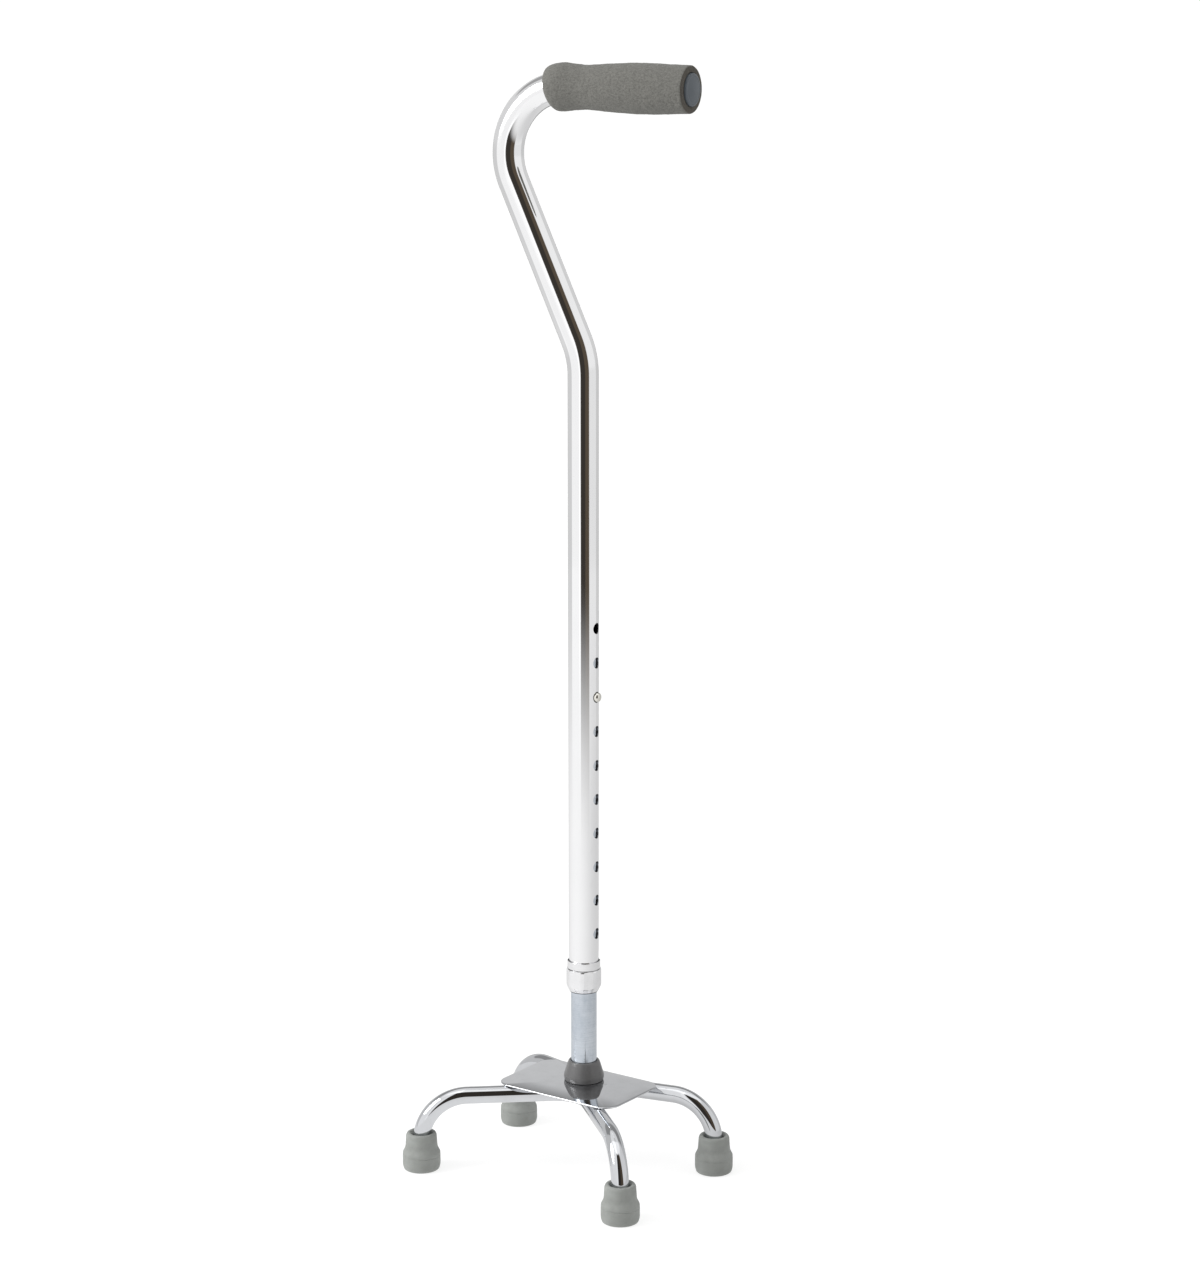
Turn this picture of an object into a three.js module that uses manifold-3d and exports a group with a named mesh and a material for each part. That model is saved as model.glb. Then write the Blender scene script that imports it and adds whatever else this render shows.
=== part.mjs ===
// Quad walking cane with a height-adjustable post and an offset handle.
//
// Millimetres, +Z up. The origin is on the floor, midway between the four rubber tips.
// +X is the long way of the base, and the open end of the grip points along it to within a few
// degrees. +Y is the side with the straighter legs, which the user walks beside; the post stands
// nearer to that side. The pieces on the post are drawn with the grip along X, and turned with it.

import * as THREE from 'three';
import { mergeVertices } from 'three/addons/utils/BufferGeometryUtils.js';
import Module from 'manifold-3d';

// ---------------------------------------------------------------- driving dimensions

const GAP = 0.3;                 // between pieces that touch or are welded
const POST_Y = 20.9;             // the post's axis, from the middle of the feet
const HANDLE_TURN_DEG = 7;       // everything on the post is turned by this about its axis

const FEET_X = 180;              // between the feet, along X
const FEET_Y = 120.5;            // between the feet, along Y

const TUBE_R = 11.1;             // handle tube, 7/8 in
const TUBE_WALL = 1.2;
const TUBE_BOTTOM_Z = 152.5;
const KINK_Z = 602.7;            // where the handle tube starts to lean back
const LEAN_DEG = 24.7;           // of the leaning stretch, from upright
const KINK_BEND_R = 60;
const GRIP_Z = 791.4;            // axis of the grip
const CROOK_BEND_R = 47.2;
const TUBE_END_X = 82;
const GRIP_END_X = 84.8;         // open end of the foam
const GRIP_LENGTH = 109.3;
const CAP_FACE_X = 86.5;
const CAP_R = 11.5;
const CAP_STEM_LENGTH = 18;      // inside the tube

const HOLE_PITCH = 25.4;         // one inch between height settings
const HOLE_COUNT = 10;
const TOP_HOLE_Z = 407;
const HOLE_R = 4;
const SETTING = 2;               // holes above the one that the button is in

const POST_R = 9.525;            // lower tube, 3/4 in
const POST_WALL = 1.2;
const POST_TOP_Z = 391;

const PLATE_TOP_Z = 64.4;
const PLATE_THICKNESS = 2.3;
const PLATE_X = 104.5;
const PLATE_Y = 68;
const PLATE_CORNER_R = 12;
const PLATE_CENTRE_Y = 13.6;

const LEG_R = 6.35;              // leg tube, 1/2 in
const LEG_WALL = 1.2;
// Each pair of legs is one tube. splayDeg is measured from the X axis, dropR bends the tube down
// to the floor, and plateR bends it under the plate.
const OUTER_LEGS = { side: -1, splayDeg: 41, dropR: 34, plateR: 25 };
const INNER_LEGS = { side: 1, splayDeg: 13.4, dropR: 32, plateR: 40 };

const TIP_R = 14;
const TIP_HEIGHT = 28.2;
const TIP_FLOOR = 5;             // rubber under the leg's end
const TIP_WASHER = 1.5;

const BOOT_TOP_Z = 79.7;
const BOOT_R = 15;

const COLLAR_TOP_Z = 156.9;
const COLLAR_R = 12.15;
const COLLAR_BOTTOM_Z = 151.1;
const NUT_R = 12.9;
const NUT_BOTTOM_Z = 133.3;
const THREAD_R = 11;

const SPIGOT_TOP_Z = 95;
const PIN_Z = 72;
const PIN_R = 2.4;

const BUTTON_R = 3.5;
const BUTTON_PROUD = 2.6;        // how far the button stands out of the handle tube

const COLOURS = {
  polished: { color: 0xd9d9da, roughness: 0.14, metalness: 1 },
  chrome: { color: 0xd6d8db, roughness: 0.05, metalness: 1 },
  zinc: { color: 0xa9b1b8, roughness: 0.32, metalness: 1 },
  steel: { color: 0x9a9c9e, roughness: 0.4, metalness: 1 },
  foam: { color: 0x77756f, roughness: 0.95, metalness: 0 },
  cap: { color: 0x7f868c, roughness: 0.45, metalness: 0 },
  boot: { color: 0x57585a, roughness: 0.7, metalness: 0 },
  rubber: { color: 0x94988f, roughness: 0.85, metalness: 0 },
  nylon: { color: 0xe6e4dc, roughness: 0.5, metalness: 0 },
};

// ---------------------------------------------------------------- solids and cuts

const wasm = await Module();
wasm.setup();

function solidOf(geometry) {
  const bare = geometry.clone();
  bare.deleteAttribute('normal');
  bare.deleteAttribute('uv');
  const merged = mergeVertices(bare, 1e-4);
  return new wasm.Manifold(new wasm.Mesh({
    numProp: 3,
    vertProperties: new Float32Array(merged.attributes.position.array),
    triVerts: new Uint32Array(merged.index.array),
  }));
}

function geometryOf(solid) {
  const mesh = solid.getMesh();
  const geometry = new THREE.BufferGeometry();
  geometry.setAttribute('position', new THREE.BufferAttribute(mesh.vertProperties, 3));
  geometry.setIndex(new THREE.BufferAttribute(mesh.triVerts, 1));
  return geometry;
}

function cut(geometry, ...tools) {
  return geometryOf(tools.reduce((left, tool) => left.subtract(solidOf(tool)), solidOf(geometry)));
}

function common(geometry, other) {
  return geometryOf(solidOf(geometry).intersect(solidOf(other)));
}

// A turned piece: an outline of radius and height, spun about the Z axis.
function turned(outline, sides = 24, arcSteps = 3) {
  return new THREE.LatheGeometry(outline.getPoints(arcSteps), sides).rotateX(Math.PI / 2);
}

// The same, spun about the X axis, with the outline's heights along +X.
function turnedAlongX(outline, sides = 24, arcSteps = 3) {
  return new THREE.LatheGeometry(outline.getPoints(arcSteps), sides).rotateZ(-Math.PI / 2);
}

// An outline that runs through [radius, height] corners in order. A third number rounds the corner.
function outlineOf(corners) {
  const outline = new THREE.Path();
  const points = corners.map(([r, z]) => new THREE.Vector2(r, z));
  corners.forEach(([r, z, round], i) => {
    if (i === 0) {
      outline.moveTo(r, z);
    } else if (round) {
      const before = points[i].clone().add(points[i - 1].clone().sub(points[i]).setLength(round));
      const after = points[i].clone().add(points[i + 1].clone().sub(points[i]).setLength(round));
      outline.lineTo(before.x, before.y);
      outline.quadraticCurveTo(r, z, after.x, after.y);
    } else {
      outline.lineTo(r, z);
    }
  });
  return outline;
}

// A straight-sided ring or tube.
function ring(outerR, innerR, bottomZ, topZ, sides = 24) {
  return turned(outlineOf([
    [innerR, bottomZ], [outerR, bottomZ], [outerR, topZ], [innerR, topZ], [innerR, bottomZ],
  ]), sides);
}

function crossHole(radius, fromX, toX, z) {
  const hole = new THREE.CylinderGeometry(radius, radius, toX - fromX, 16).rotateZ(Math.PI / 2);
  return hole.translate((fromX + toX) / 2, 0, z);
}

// ---------------------------------------------------------------- bent tubes

// A path of straight stretches joined by round bends, with stations only where it needs them.
class BentPath extends THREE.Curve {
  constructor(corners, radii, degreesPerStation = 9) {
    super();
    const add = (point, tangent) => this.stations.push({ point, tangent });
    this.stations = [];
    const heading = (i) => corners[i + 1].clone().sub(corners[i]).normalize();
    add(corners[0].clone(), heading(0));
    for (let i = 1; i < corners.length - 1; i += 1) {
      const into = heading(i - 1);
      const out = heading(i);
      const turn = into.angleTo(out);
      const radius = radii[i - 1];
      const setback = radius * Math.tan(turn / 2);
      const start = corners[i].clone().addScaledVector(into, -setback);
      const axis = into.clone().cross(out).normalize();
      const centre = start.clone().addScaledVector(axis.clone().cross(into), radius);
      const steps = Math.ceil(THREE.MathUtils.radToDeg(turn) / degreesPerStation);
      for (let k = 0; k <= steps; k += 1) {
        const angle = turn * k / steps;
        const arm = start.clone().sub(centre).applyAxisAngle(axis, angle);
        add(arm.add(centre), into.clone().applyAxisAngle(axis, angle));
      }
    }
    add(corners.at(-1).clone(), heading(corners.length - 2));
  }

  get steps() {
    return this.stations.length - 1;
  }

  getPoint(t, target = new THREE.Vector3()) {
    const place = t * this.steps;
    const i = Math.min(Math.floor(place + 1e-9), this.steps - 1);
    return target.lerpVectors(this.stations[i].point, this.stations[i + 1].point, place - i);
  }

  getPointAt(t, target) {
    return this.getPoint(t, target);
  }

  getTangentAt(t, target = new THREE.Vector3()) {
    return target.copy(this.stations[Math.round(t * this.steps)].tangent);
  }

  get length() {
    let sum = 0;
    for (let i = 0; i < this.steps; i += 1) {
      sum += this.stations[i].point.distanceTo(this.stations[i + 1].point);
    }
    return sum;
  }

  // The point and heading at a distance back from the path's far end.
  fromEnd(distance) {
    let left = distance;
    for (let i = this.steps; i > 0; i -= 1) {
      const far = this.stations[i];
      const near = this.stations[i - 1];
      const span = far.point.distanceTo(near.point);
      if (left <= span || i === 1) {
        const share = left / span;
        return {
          point: far.point.clone().lerp(near.point, share),
          tangent: far.tangent.clone().lerp(near.tangent, share).normalize(),
        };
      }
      left -= span;
    }
    return this.stations[0];
  }
}

function sweep(section, path) {
  return new THREE.ExtrudeGeometry(section, {
    steps: path.steps, bevelEnabled: false, extrudePath: path,
  });
}

function pipeSection(outerR, innerR, outerSides, innerSides) {
  const polygon = (radius, sides) => Array.from({ length: sides }, (_, k) => {
    const angle = 2 * Math.PI * k / sides;
    return new THREE.Vector2(radius * Math.cos(angle), radius * Math.sin(angle));
  });
  const section = new THREE.Shape(polygon(outerR, outerSides));
  section.holes.push(new THREE.Path(polygon(innerR, innerSides)));
  return section;
}

// ---------------------------------------------------------------- handle

const holeZ = (k) => TOP_HOLE_Z - k * HOLE_PITCH;
const BUTTON_Z = holeZ(SETTING);

const crookX = -(GRIP_Z - KINK_Z) * Math.tan(THREE.MathUtils.degToRad(LEAN_DEG));
const handlePath = new BentPath([
  new THREE.Vector3(0, 0, TUBE_BOTTOM_Z),
  new THREE.Vector3(0, 0, KINK_Z),
  new THREE.Vector3(crookX, 0, GRIP_Z),
  new THREE.Vector3(TUBE_END_X, 0, GRIP_Z),
], [KINK_BEND_R, CROOK_BEND_R]);

function handleTube() {
  const tube = sweep(pipeSection(TUBE_R, TUBE_R - TUBE_WALL, 24, 20), handlePath);
  const holes = Array.from({ length: HOLE_COUNT }, (_, k) => crossHole(HOLE_R, 6, 16, holeZ(k)));
  return cut(tube, ...holes);
}

// The grip is turned as a straight sleeve, with its heights measured from its open end, then laid
// along the tube's axis and round the start of the crook. Its mouth is wider, for the cap's rim.
function foamGrip() {
  const bore = TUBE_R + 0.5;
  const mouthR = CAP_R + 0.4;
  const mouth = TUBE_END_X - GRIP_END_X;
  const sleeve = turned(outlineOf([
    [bore, -GRIP_LENGTH], [13.6, -GRIP_LENGTH], [15.9, 2.4 - GRIP_LENGTH], [16.9, 7 - GRIP_LENGTH],
    [16.9, -97.7], [16.1, -90.2], [15.5, -82], [16, -71.7], [16.8, -61], [17.4, -47],
    [17.6, -37], [17.3, -23], [16.8, -8.8], [16.5, -0.9], [15.6, 0],
    [mouthR, 0], [mouthR, mouth], [bore, mouth], [bore, -96.5], [bore, -102.5], [bore, -GRIP_LENGTH],
  ]));
  const position = sleeve.attributes.position;
  for (let i = 0; i < position.count; i += 1) {
    const pastTube = GRIP_END_X - TUBE_END_X + position.getZ(i);
    const { point, tangent } = handlePath.fromEnd(Math.max(0, -pastTube));
    const up = new THREE.Vector3(-tangent.z, 0, tangent.x);
    point.addScaledVector(up, position.getX(i)).addScaledVector(tangent, Math.max(0, pastTube));
    position.setXYZ(i, point.x, -position.getY(i), point.z);
  }
  return sleeve;
}

function handleEndCap() {
  const stemR = TUBE_R - TUBE_WALL - GAP;
  const innerX = TUBE_END_X - CAP_STEM_LENGTH;
  const flangeX = TUBE_END_X + GAP;
  return turnedAlongX(outlineOf([
    [0, innerX], [stemR - 1, innerX], [stemR, innerX + 1.5], [stemR, flangeX], [CAP_R, flangeX],
    [CAP_R, CAP_FACE_X - 0.6], [CAP_R - 1.1, CAP_FACE_X], [5, CAP_FACE_X + 0.5],
    [0, CAP_FACE_X + 0.7],
  ]), 20);
}

// ---------------------------------------------------------------- collar

// The collar is pressed on the handle tube's bottom end, and its stem carries the lock nut's thread.
function threadedCollar() {
  const boreR = POST_R + GAP;
  const seatZ = TUBE_BOTTOM_Z - GAP;
  return turned(outlineOf([
    [boreR, 141], [THREAD_R - 0.8, 141], [THREAD_R, 141.8], [THREAD_R, COLLAR_BOTTOM_Z],
    [COLLAR_R, COLLAR_BOTTOM_Z], [COLLAR_R, COLLAR_TOP_Z - 0.5], [COLLAR_R - 0.4, COLLAR_TOP_Z],
    [TUBE_R + GAP, COLLAR_TOP_Z], [TUBE_R + GAP, seatZ], [boreR, seatZ], [boreR, 141],
  ]));
}

// An eight-sided nut with a round, tapered foot. Its inner cone squeezes the compression ring.
function lockNut() {
  const topZ = COLLAR_BOTTOM_Z - 0.4;
  const threadR = THREAD_R + GAP;
  const body = turned(outlineOf([
    [POST_R + 0.4, NUT_BOTTOM_Z], [10.6, NUT_BOTTOM_Z], [NUT_R - 0.3, 137.4], [NUT_R, 138.4],
    [NUT_R, topZ - 0.6], [NUT_R - 0.5, topZ], [threadR, topZ], [threadR, 140.4],
    [10.6, 134.3], [POST_R + 0.4, 134.3], [POST_R + 0.4, NUT_BOTTOM_Z],
  ]), 32);
  const acrossCorners = 12.4 / Math.cos(Math.PI / 8);
  const flats = new THREE.CylinderGeometry(acrossCorners, acrossCorners, 40, 8).rotateX(Math.PI / 2);
  return common(body, flats.rotateZ(Math.PI / 8).translate(0, 0, topZ));
}

function compressionRing() {
  const cone = turned(outlineOf([
    [POST_R + 0.25, 134.6], [10.25, 134.6], [THREAD_R - 0.05, 140.2], [THREAD_R - 0.05, 140.7],
    [POST_R + 0.25, 140.7], [POST_R + 0.25, 134.6],
  ]));
  return cut(cone, new THREE.BoxGeometry(6, 1.6, 20).translate(-POST_R - 1, 0, 137));
}

// ---------------------------------------------------------------- post

function lowerTube() {
  const bottomZ = PLATE_TOP_Z + GAP;
  const tube = ring(POST_R, POST_R - POST_WALL, bottomZ, POST_TOP_Z);
  return cut(
    tube,
    crossHole(HOLE_R - 0.1, 4, 14, BUTTON_Z),
    crossHole(PIN_R + GAP, -14, 14, PIN_Z),
  );
}

function snapButton() {
  const crownX = TUBE_R + BUTTON_PROUD;
  return turnedAlongX(outlineOf([
    [0, 5.2], [4.4, 5.2], [4.4, 6.2], [BUTTON_R, 6.2], [BUTTON_R, crownX - 1.4],
    [BUTTON_R - 0.5, crownX - 0.6], [BUTTON_R - 1.7, crownX], [0, crownX + 0.1],
  ]), 16).translate(0, 0, BUTTON_Z);
}

// A folded leaf: one arm behind the button, the other against the far wall of the lower tube.
function buttonSpring() {
  const path = new BentPath([
    new THREE.Vector3(4.5, 0, BUTTON_Z + 5),
    new THREE.Vector3(4.5, 0, BUTTON_Z - 5),
    new THREE.Vector3(-2, 0, BUTTON_Z - 42),
    new THREE.Vector3(-7.2, 0, BUTTON_Z - 42),
    new THREE.Vector3(-7.2, 0, BUTTON_Z - 8),
  ], [6, 2, 2], 20);
  const [halfWidth, halfThickness] = [3, 0.3];
  const strip = new THREE.Shape([
    new THREE.Vector2(-halfWidth, -halfThickness), new THREE.Vector2(halfWidth, -halfThickness),
    new THREE.Vector2(halfWidth, halfThickness), new THREE.Vector2(-halfWidth, halfThickness),
  ]);
  return sweep(strip, path);
}

function baseBoot() {
  const bottomZ = PLATE_TOP_Z + GAP;
  const boreR = POST_R + GAP;
  const roomR = 12;
  return turned(outlineOf([
    [roomR, bottomZ], [BOOT_R - 0.7, bottomZ], [BOOT_R, bottomZ + 2.2], [BOOT_R - 0.2, bottomZ + 4],
    [12.2, BOOT_TOP_Z - 2.4], [11.7, BOOT_TOP_Z - 0.6], [11.2, BOOT_TOP_Z], [boreR, BOOT_TOP_Z],
    [boreR, BOOT_TOP_Z - 3.4], [roomR - 0.9, BOOT_TOP_Z - 4.6], [roomR, BOOT_TOP_Z - 6],
    [roomR, bottomZ],
  ]), 28);
}

function postSpigot() {
  const outerR = POST_R - POST_WALL - GAP;
  return cut(
    ring(outerR, 5.6, PLATE_TOP_Z + GAP, SPIGOT_TOP_Z, 20),
    crossHole(PIN_R + GAP, -14, 14, PIN_Z),
  );
}

function spigotPin() {
  const half = POST_R + 0.9;
  return turnedAlongX(outlineOf([
    [0, -half - 0.5], [PIN_R - 0.7, -half], [PIN_R, -half + 0.7], [PIN_R, half - 0.7],
    [PIN_R - 0.7, half], [0, half + 0.5],
  ]), 12).translate(0, 0, PIN_Z);
}

// ---------------------------------------------------------------- base

function basePlate() {
  const [x, y, r] = [PLATE_X / 2, PLATE_Y / 2, PLATE_CORNER_R];
  const outline = new THREE.Shape();
  outline.moveTo(x, y - r);
  outline.absarc(x - r, y - r, r, 0, Math.PI / 2);
  outline.absarc(r - x, y - r, r, Math.PI / 2, Math.PI);
  outline.absarc(r - x, r - y, r, Math.PI, 1.5 * Math.PI);
  outline.absarc(x - r, r - y, r, 1.5 * Math.PI, 2 * Math.PI);
  const plate = new THREE.ExtrudeGeometry(outline, {
    depth: PLATE_THICKNESS, bevelEnabled: false, curveSegments: 6,
  });
  return plate.translate(0, PLATE_CENTRE_Y, PLATE_TOP_Z - PLATE_THICKNESS);
}

// One tube makes two legs: from a tip, up and in under the plate, round a bend, and out again.
function legTube({ side, splayDeg, dropR, plateR }) {
  const tubeZ = PLATE_TOP_Z - PLATE_THICKNESS - GAP - LEG_R;
  const endZ = TIP_FLOOR + TIP_WASHER + 2 * GAP;
  const footX = FEET_X / 2;
  const footY = side * FEET_Y / 2;
  const innerY = footY - side * footX * Math.tan(THREE.MathUtils.degToRad(splayDeg));
  const path = new BentPath([
    new THREE.Vector3(-footX, footY, endZ),
    new THREE.Vector3(-footX, footY, tubeZ),
    new THREE.Vector3(0, innerY, tubeZ),
    new THREE.Vector3(footX, footY, tubeZ),
    new THREE.Vector3(footX, footY, endZ),
  ], [dropR, plateR, dropR], 15);
  return sweep(pipeSection(LEG_R, LEG_R - LEG_WALL, 14, 10), path);
}

function rubberTip() {
  const boreR = LEG_R + 0.35;
  return turned(outlineOf([
    [0, 0], [11.4, 0], [13.1, 1], [TIP_R, 3.4], [TIP_R, 10.9], [TIP_R - 0.4, 11.3],
    [TIP_R - 0.6, 14], [12.6, 17], [12.2, 18.4], [11.3, 26.6], [10.5, 27.9], [9, TIP_HEIGHT],
    [8, 27.7], [7.4, 26.6], [boreR, 22.5], [boreR, TIP_FLOOR], [0, TIP_FLOOR],
  ]));
}

function tipWasher() {
  const bottomZ = TIP_FLOOR + GAP;
  return ring(LEG_R, 2.2, bottomZ, bottomZ + TIP_WASHER, 16);
}

// ---------------------------------------------------------------- assembly

const cane = new THREE.Group();
const post = new THREE.Group();
post.position.set(0, POST_Y, 0);
post.rotation.z = THREE.MathUtils.degToRad(HANDLE_TURN_DEG);
cane.add(post);

function place(parent, name, geometry, finish) {
  const mesh = new THREE.Mesh(geometry, new THREE.MeshStandardMaterial(COLOURS[finish]));
  mesh.name = name;
  parent.add(mesh);
  return mesh;
}

place(post, 'handle_tube', handleTube(), 'polished');
place(post, 'foam_grip', foamGrip(), 'foam');
place(post, 'handle_end_cap', handleEndCap(), 'cap').position.set(0, 0, GRIP_Z);
place(post, 'threaded_collar', threadedCollar(), 'chrome');
place(post, 'lock_nut', lockNut(), 'chrome');
place(post, 'compression_ring', compressionRing(), 'nylon');

place(post, 'lower_tube', lowerTube(), 'zinc');
place(post, 'snap_button', snapButton(), 'steel');
place(post, 'button_spring', buttonSpring(), 'steel');
place(post, 'base_boot', baseBoot(), 'boot');
place(post, 'post_spigot', postSpigot(), 'steel');
place(post, 'spigot_pin', spigotPin(), 'steel');

place(cane, 'base_plate', basePlate(), 'chrome');
place(cane, 'outer_leg_tube', legTube(OUTER_LEGS), 'chrome');
place(cane, 'inner_leg_tube', legTube(INNER_LEGS), 'chrome');

for (const [sideName, side] of [['outer', -1], ['inner', 1]]) {
  for (const [endName, end] of [['open_end', 1], ['bend_end', -1]]) {
    const foot = [end * FEET_X / 2, side * FEET_Y / 2, 0];
    place(cane, `tip_${sideName}_${endName}`, rubberTip(), 'rubber').position.set(...foot);
    place(cane, `tip_washer_${sideName}_${endName}`, tipWasher(), 'steel').position.set(...foot);
  }
}

export default cane;
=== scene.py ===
"""The visual model of a quad walking cane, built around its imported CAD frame.

Lengths are in millimetres until piece() turns a mesh into metres. Turned and bent pieces are first
made straight, about the Z axis, and that straight shape is kept in the vertex attribute "straight",
so that a material's lines and grain follow each tube round its bends.
"""

import math

import bmesh
import bpy
from mathutils import Matrix, Vector, noise


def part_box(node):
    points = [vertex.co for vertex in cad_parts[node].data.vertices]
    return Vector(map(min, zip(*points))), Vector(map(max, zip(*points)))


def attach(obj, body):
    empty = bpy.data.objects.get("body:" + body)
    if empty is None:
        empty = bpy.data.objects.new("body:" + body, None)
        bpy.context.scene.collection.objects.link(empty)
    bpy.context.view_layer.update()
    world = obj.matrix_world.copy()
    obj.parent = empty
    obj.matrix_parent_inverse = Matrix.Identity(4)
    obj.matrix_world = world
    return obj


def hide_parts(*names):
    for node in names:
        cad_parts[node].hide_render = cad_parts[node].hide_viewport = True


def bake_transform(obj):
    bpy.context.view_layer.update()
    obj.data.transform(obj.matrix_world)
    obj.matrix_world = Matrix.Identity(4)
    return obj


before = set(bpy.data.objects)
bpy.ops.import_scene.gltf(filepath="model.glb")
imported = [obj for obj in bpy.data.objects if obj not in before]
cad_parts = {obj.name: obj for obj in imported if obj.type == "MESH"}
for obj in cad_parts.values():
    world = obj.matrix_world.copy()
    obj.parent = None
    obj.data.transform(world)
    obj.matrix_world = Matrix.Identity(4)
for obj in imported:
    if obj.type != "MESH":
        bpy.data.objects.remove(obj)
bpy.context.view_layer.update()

# ---------------------------------------------------------------- sizes from the frame

METRE = 1000.0


def corners(node):
    """A CAD node's lowest and highest corner, in millimetres."""
    low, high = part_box(node)
    return low * METRE, high * METRE


TUBE_BOTTOM_Z = corners("handle_tube")[0].z

cap_low, cap_high = corners("handle_end_cap")
GRIP_Z = (cap_low.z + cap_high.z) / 2

post_low, post_high = corners("lower_tube")
POST_Y = (post_low.y + post_high.y) / 2

button_low, button_high = corners("snap_button")
BUTTON_Z = (button_low.z + button_high.z) / 2

plate_low, plate_high = corners("base_plate")
PLATE_TOP_Z = plate_high.z
PLATE_THICKNESS = plate_high.z - plate_low.z

tip_low, tip_high = corners("tip_inner_open_end")
FOOT_X = (tip_low.x + tip_high.x) / 2
FOOT_Y = (tip_low.y + tip_high.y) / 2
TIP_R = (tip_high.x - tip_low.x) / 2
TIP_HEIGHT = tip_high.z

collar_low, collar_high = corners("threaded_collar")
nut_low, nut_high = corners("lock_nut")
boot_low, boot_high = corners("base_boot")
spigot_low, spigot_high = corners("post_spigot")
pin_low, pin_high = corners("spigot_pin")
PIN_Z = (pin_low.z + pin_high.z) / 2

# ---------------------------------------------------------------- other driving dimensions

GAP = 0.3                 # between pieces that touch
WALL = 1.2                # of every tube
TUBE_R = 11.1
POST_R = 9.525
BOOT_R = 15.0
HANDLE_TURN = math.radians(7)    # of everything on the post, about its axis

# Lengths along the grip are measured from the post's axis.
KINK_Z = 602.7
LEAN = math.radians(24.7)
KINK_BEND_R = 60.0
CROOK_BEND_R = 47.2
TUBE_END_X = 82.0
CAP_INNER_X = 64.0
CAP_FACE_X = 87.2
CAP_R = 11.5

HOLE_PITCH = 25.4
HOLE_COUNT = 10
HOLE_R = 4.0
BUTTON_HOLE = 2           # counted down from the top one
BUTTON_R = 3.5
BUTTON_TIP_X = 13.8
PIN_HALF_LENGTH = 10.925

GRIP_OVERHANG = 2.8       # foam past the end of the handle tube
GRIP_BORE = 11.6

LEG_R = 6.35
LEG_END_Z = 7.1
OUTER_SPLAY = math.radians(41)
INNER_SPLAY = math.radians(13.4)

THREAD_R = 11.0
THREAD_PITCH = 1.5
THREAD_DEPTH = 0.45
COLLAR_R = 12.15
COLLAR_STEM_TOP_Z = 151.1
NUT_R = 12.9
NUT_FLAT_R = 12.4         # half the distance across two flats
NUT_SIDES = 8

# ---------------------------------------------------------------- outlines


def rounded(points, steps=6):
    """An outline through corners of radius and height. A third number rounds that corner."""
    outline = []
    for i, point in enumerate(points):
        here = Vector(point[:2])
        if len(point) == 2:
            outline.append(here)
            continue
        back = (Vector(points[i - 1][:2]) - here).normalized() * point[2]
        on = (Vector(points[(i + 1) % len(points)][:2]) - here).normalized() * point[2]
        for k in range(steps + 1):
            share = k / steps
            outline.append(here + back * (1 - share) ** 2 + on * share ** 2)
    return outline


def loop(points, steps=6):
    """A rounded outline that closes on itself, for a piece with a bore."""
    outline = rounded(points, steps)
    return outline + [outline[0]]


def smooth(points, spacing):
    """A smooth outline that passes through every point, with a new point at each spacing."""
    points = [Vector(p) for p in points]
    points = [2 * points[0] - points[1], *points, 2 * points[-1] - points[-2]]
    outline = []
    for a, b, c, d in zip(points, points[1:], points[2:], points[3:]):
        count = max(1, round((c - b).length / spacing))
        for k in range(count):
            t = k / count
            outline.append(0.5 * (2 * b + (c - a) * t + (2 * a - 5 * b + 4 * c - d) * t ** 2
                                  + (3 * b - a - 3 * c + d) * t ** 3))
    return outline + [points[-2]]


def steps_between(start, end, spacing):
    """Evenly spaced numbers from start to end."""
    count = max(1, math.ceil(abs(end - start) / spacing))
    return [start + (end - start) * k / count for k in range(count + 1)]


def split(outline, spacing):
    """The outline with its long stretches divided."""
    result = []
    for a, b in zip(outline, outline[1:]):
        count = max(1, math.ceil((b - a).length / spacing))
        result += [a.lerp(b, k / count) for k in range(count)]
    return result + [outline[-1]]


# ---------------------------------------------------------------- meshes

WELD = 1e-4


def add_grid(bm, rows):
    """Adds rows of points as a sheet of quads."""
    made = [[bm.verts.new(p) for p in row] for row in rows]
    for row, following in zip(made, made[1:]):
        for a, b, c, d in zip(row, row[1:], following[1:], following):
            bm.faces.new((a, b, c, d))
    return made


def weld(bm):
    bmesh.ops.remove_doubles(bm, verts=bm.verts, dist=WELD)
    return bm


def around(sides):
    return [math.tau * k / sides for k in range(sides + 1)]


def spun(outline, angles=None, shape=None):
    """The outline turned about the Z axis. shape(radius, height, angle) may change a radius."""
    angles = angles or around(72)
    bm = bmesh.new()
    rows = []
    for angle in angles:
        radii = [shape(r, z, angle) if shape else r for r, z in outline]
        rows.append([(r * math.cos(angle), r * math.sin(angle), z)
                     for r, (_, z) in zip(radii, outline)])
    made = add_grid(bm, rows)
    if angles[-1] - angles[0] < math.tau - 1e-6:
        bm.faces.new(made[0][:-1])
        bm.faces.new(made[-1][:-1])
    return weld(bm)


def keep_straight(bm):
    """Keeps each vertex's present place, in metres, in the attribute that the materials read."""
    layer = bm.verts.layers.float_vector.new("straight")
    for vertex in bm.verts:
        vertex[layer] = vertex.co / METRE


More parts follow.
